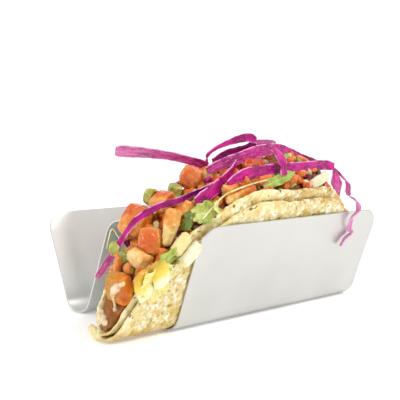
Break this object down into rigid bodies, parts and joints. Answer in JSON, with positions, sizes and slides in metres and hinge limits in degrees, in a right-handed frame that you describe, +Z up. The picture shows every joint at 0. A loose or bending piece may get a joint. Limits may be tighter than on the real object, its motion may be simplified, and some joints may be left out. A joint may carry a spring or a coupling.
{
  "type": "taco",
  "caption": "Taco of folded corn tortillas heaped with chopped salsa and red cabbage, standing in one slot of a bent sheet-steel taco holder.",
  "frame": {"origin": "middle of the footprint's bounding box, on the surface that the holder stands on", "axes": "+X along the fold from the open end in front to the far end, +Y from the laden slot to the empty one, +Z up"},
  "size_m": [0.1858, 0.1208, 0.0933],
  "materials": {
    "steel": "satin stainless sheet",
    "tortilla": "dry corn tortilla, toasted, with dark specks",
    "red_cabbage": "wet red cabbage, magenta paling to pink",
    "tomato": "wet cut tomato",
    "onion": "wet cream-white onion",
    "avocado": "soft pale green flesh",
    "yellow_wedge": "yellow flesh with an orange middle",
    "leaf": "thin green leaf, pale towards its rib",
    "stem": "pale sprout stem",
    "filling_chunk": "orange cooked chunk with a streak of cream sauce",
    "filling": "brown cooked filling",
    "salsa": "wet chopped salsa"
  },
  "bodies": {
    "root": {"holder": "steel", "tortilla_outer": "tortilla", "tortilla_inner": "tortilla", "red_cabbage_1": "red_cabbage", "red_cabbage_2": "red_cabbage", "red_cabbage_3": "red_cabbage", "red_cabbage_4": "red_cabbage", "red_cabbage_5": "red_cabbage", "red_cabbage_6": "red_cabbage", "red_cabbage_7": "red_cabbage", "red_cabbage_8": "red_cabbage", "red_cabbage_9": "red_cabbage", "red_cabbage_10": "red_cabbage", "red_cabbage_11": "red_cabbage", "red_cabbage_12": "red_cabbage", "tomato_1": "tomato", "tomato_2": "tomato", "tomato_3": "tomato", "tomato_4": "tomato", "tomato_5": "tomato", "tomato_6": "tomato", "tomato_7": "tomato", "tomato_8": "tomato", "tomato_9": "tomato", "tomato_10": "tomato", "tomato_11": "tomato", "tomato_12": "tomato", "tomato_13": "tomato", "tomato_14": "tomato", "tomato_15": "tomato", "tomato_16": "tomato", "tomato_17": "tomato", "tomato_18": "tomato", "tomato_19": "tomato", "tomato_20": "tomato", "onion_1": "onion", "onion_2": "onion", "onion_3": "onion", "onion_4": "onion", "onion_5": "onion", "avocado_1": "avocado", "avocado_2": "avocado", "avocado_3": "avocado", "avocado_4": "avocado", "avocado_5": "avocado", "avocado_6": "avocado", "avocado_7": "avocado", "yellow_wedge_1": "yellow_wedge", "yellow_wedge_2": "yellow_wedge", "filling_chunk": "filling_chunk", "leaf_1": "leaf", "leaf_2": "leaf", "leaf_3": "leaf", "leaf_4": "leaf", "leaf_5": "leaf", "leaf_6": "leaf", "stem_1": "stem", "stem_2": "stem", "filling": "filling", "salsa": "salsa"}
  },
  "joints": []
}
